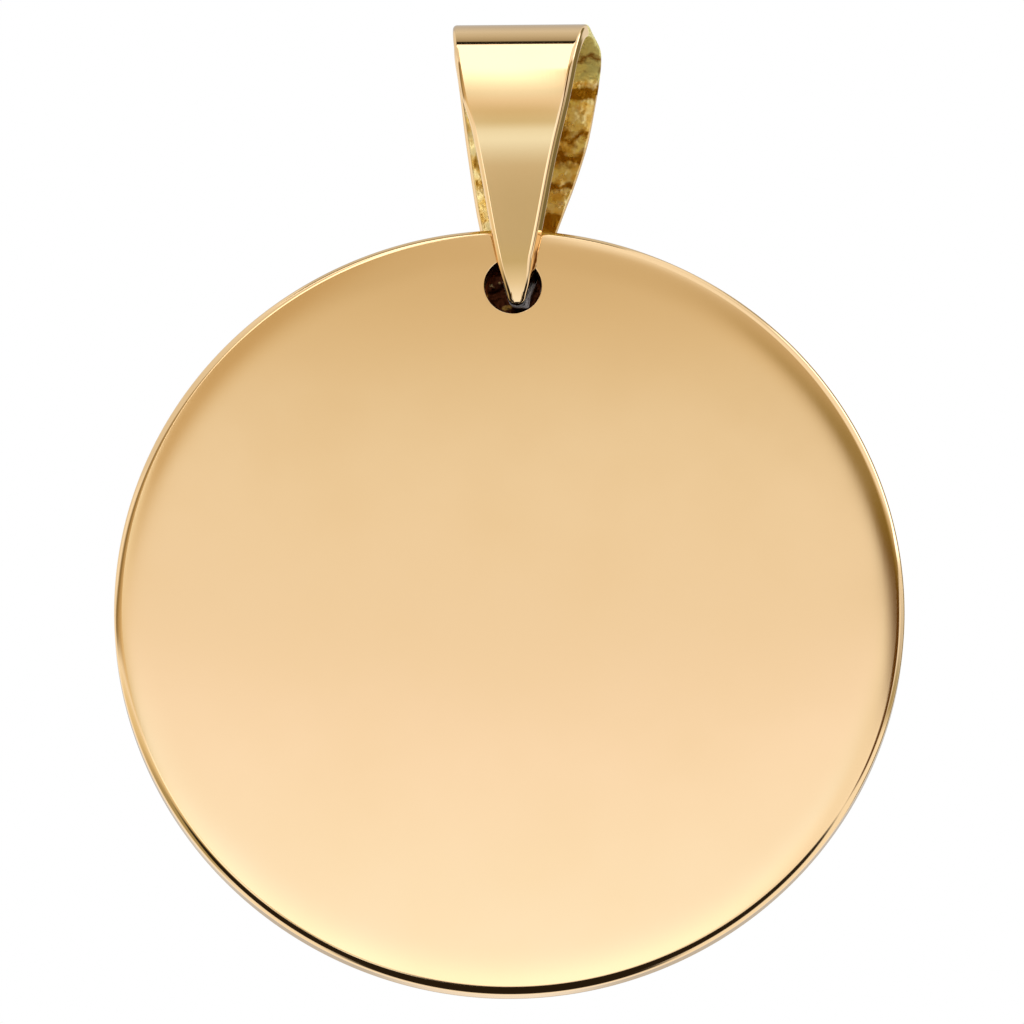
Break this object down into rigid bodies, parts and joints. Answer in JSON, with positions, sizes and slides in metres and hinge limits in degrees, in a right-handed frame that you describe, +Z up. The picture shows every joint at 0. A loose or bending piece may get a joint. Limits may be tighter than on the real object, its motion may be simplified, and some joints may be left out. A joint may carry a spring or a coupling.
{
  "type": "disc pendant",
  "caption": "Round flat polished disc pendant, plain for engraving, that swings on a folded, tapered sheet-metal bail soldered shut through a hole near its rim.",
  "frame": {"origin": "inside the bail's fold, at the middle of the line where a chain bears", "axes": "+Z up, -Y the way the disc's front face looks, +X to the right as the front face is looked at"},
  "size_m": [0.025, 0.0041, 0.0318],
  "materials": {
    "polished_gold": "polished"
  },
  "bodies": {
    "bail": {"bail": "polished_gold"},
    "disc": {"disc": "polished_gold"}
  },
  "joints": [
    {"name": "disc_swing", "type": "hinge", "parent": "bail", "child": "disc", "pos_m": [-0.00028, 0, -0.00831], "axis": [0, 1, 0], "range_deg": [-80, 80]}
  ]
}
